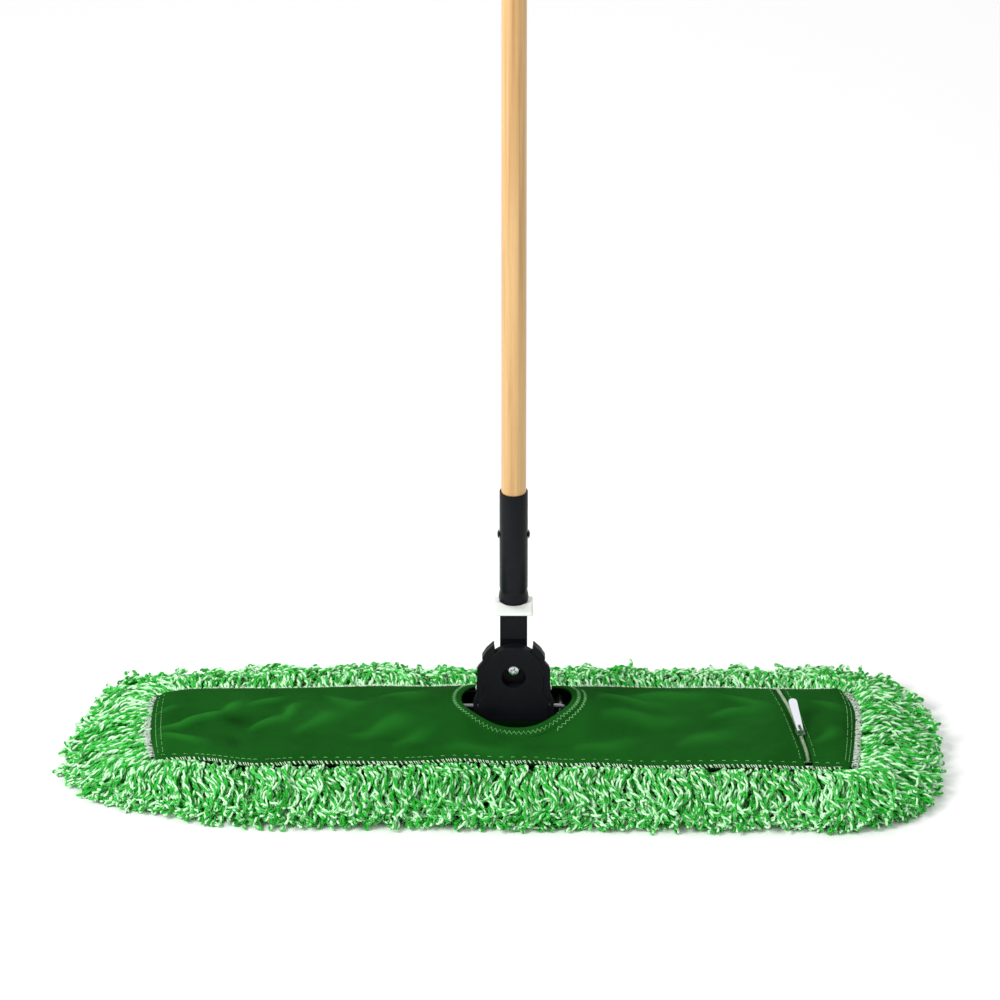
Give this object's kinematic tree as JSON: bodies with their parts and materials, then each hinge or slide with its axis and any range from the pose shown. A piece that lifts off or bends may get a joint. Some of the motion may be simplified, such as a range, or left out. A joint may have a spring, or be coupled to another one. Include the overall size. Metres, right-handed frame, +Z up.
{
  "type": "flat mop",
  "caption": "Flat dust mop: looped yarn pad with a zipped pocket over a wire frame, on a wooden handle with a clip-on swivel head and lock ring.",
  "frame": {"origin": "on the floor under the yarn pile, on the axis of the upright handle", "axes": "+Z up along the handle, +X along the mop's long side, +Y from its front edge to its back edge"},
  "size_m": [0.857, 0.336, 1.7169],
  "materials": {
    "galvanised_wire": "bright galvanised drawn wire",
    "green_canvas": "dark green woven canvas, matt",
    "green_hem": "green folded hem with zigzag stitching",
    "serging": "pale fuzzy overlock thread",
    "yarn": "bright green and white twisted looped yarn",
    "zip_tape": "woven green zip tape",
    "zip_teeth": "cream nylon coil",
    "zip_metal": "green painted slider",
    "pull_plastic": "moulded white plastic",
    "black_plastic": "satin moulded black plastic",
    "black_steel": "satin black painted steel",
    "white_nylon": "off-white moulded nylon",
    "zinc_steel": "bright zinc plate",
    "lacquered_wood": "clear lacquered hardwood"
  },
  "bodies": {
    "mop_pad": {"outer_wire": "galvanised_wire", "cross_wire_left": "galvanised_wire", "cross_wire_right": "galvanised_wire", "axle_wire": "galvanised_wire", "base_cloth": "green_canvas", "pocket_top": "green_canvas", "pocket_end": "green_canvas", "hole_hem": "green_hem", "end_binding_left": "serging", "end_binding_right": "serging", "edge_binding_front": "serging", "edge_binding_back": "serging", "yarn_pile": "yarn", "yarn_left": "yarn", "yarn_right": "yarn", "yarn_front": "yarn", "yarn_back": "yarn", "zip_tape_inner": "zip_tape", "zip_tape_outer": "zip_tape", "zip_chain": "zip_teeth"},
    "zip_slider": {"zip_slider": "zip_metal"},
    "zip_pull": {"zip_pull": "pull_plastic"},
    "head": {"head_body": "black_plastic", "front_cover": "black_plastic", "pivot_bolt": "zinc_steel", "pivot_washer": "zinc_steel", "pivot_nut": "zinc_steel", "latch_pin_left": "zinc_steel", "latch_pin_right": "zinc_steel", "latch_spring_left": "zinc_steel", "latch_spring_right": "zinc_steel", "cover_screw_left": "zinc_steel", "cover_screw_right": "zinc_steel"},
    "latch_left": {"latch_left": "black_plastic"},
    "latch_right": {"latch_right": "black_plastic"},
    "neck": {"neck": "black_plastic", "eye_bush": "white_nylon", "swivel_washer": "zinc_steel", "swivel_clip": "zinc_steel"},
    "lock_ring": {"lock_ring": "white_nylon"},
    "handle": {"swivel_bush": "white_nylon", "ferrule": "black_steel", "handle_rivet": "black_steel", "handle_shaft": "lacquered_wood"}
  },
  "joints": [
    {"name": "head_pitch", "type": "hinge", "parent": "mop_pad", "child": "head", "pos_m": [0, 0, 0.0518], "axis": [1, 0, 0], "range_deg": [-55, 44]},
    {"name": "handle_tilt", "type": "hinge", "parent": "head", "child": "neck", "pos_m": [0, 0, 0.0943], "axis": [0, 1, 0], "range_deg": [-90, 90]},
    {"name": "handle_swivel", "type": "hinge", "parent": "neck", "child": "handle", "pos_m": [0, 0, 0.2], "axis": [0, 0, 1], "continuous": true},
    {"name": "ring_slide", "type": "slide", "parent": "neck", "child": "lock_ring", "axis": [0, 0, 1], "range_m": [-0.0205, 0]},
    {"name": "latch_left_press", "type": "hinge", "parent": "head", "child": "latch_left", "pos_m": [0, -0.01, 0.0768], "axis": [-1, 0, 0], "range_deg": [0, 12], "stiffness_Nm_per_rad": 0.6, "springref_deg": -20.05},
    {"name": "latch_right_press", "type": "hinge", "parent": "head", "child": "latch_right", "pos_m": [0, -0.01, 0.0768], "axis": [1, 0, 0], "range_deg": [-12, 0], "stiffness_Nm_per_rad": 0.6, "springref_deg": 20.05},
    {"name": "zip_slide", "type": "slide", "parent": "mop_pad", "child": "zip_slider", "axis": [-0.1867, 0.9824, 0], "range_m": [-0.0165, 0.0915]},
    {"name": "zip_pull_swing", "type": "hinge", "parent": "zip_slider", "child": "zip_pull", "pos_m": [0.274, -0.03684, 0.0458], "axis": [0.9824, 0.1867, 0], "range_deg": [-14, 130]}
  ]
}
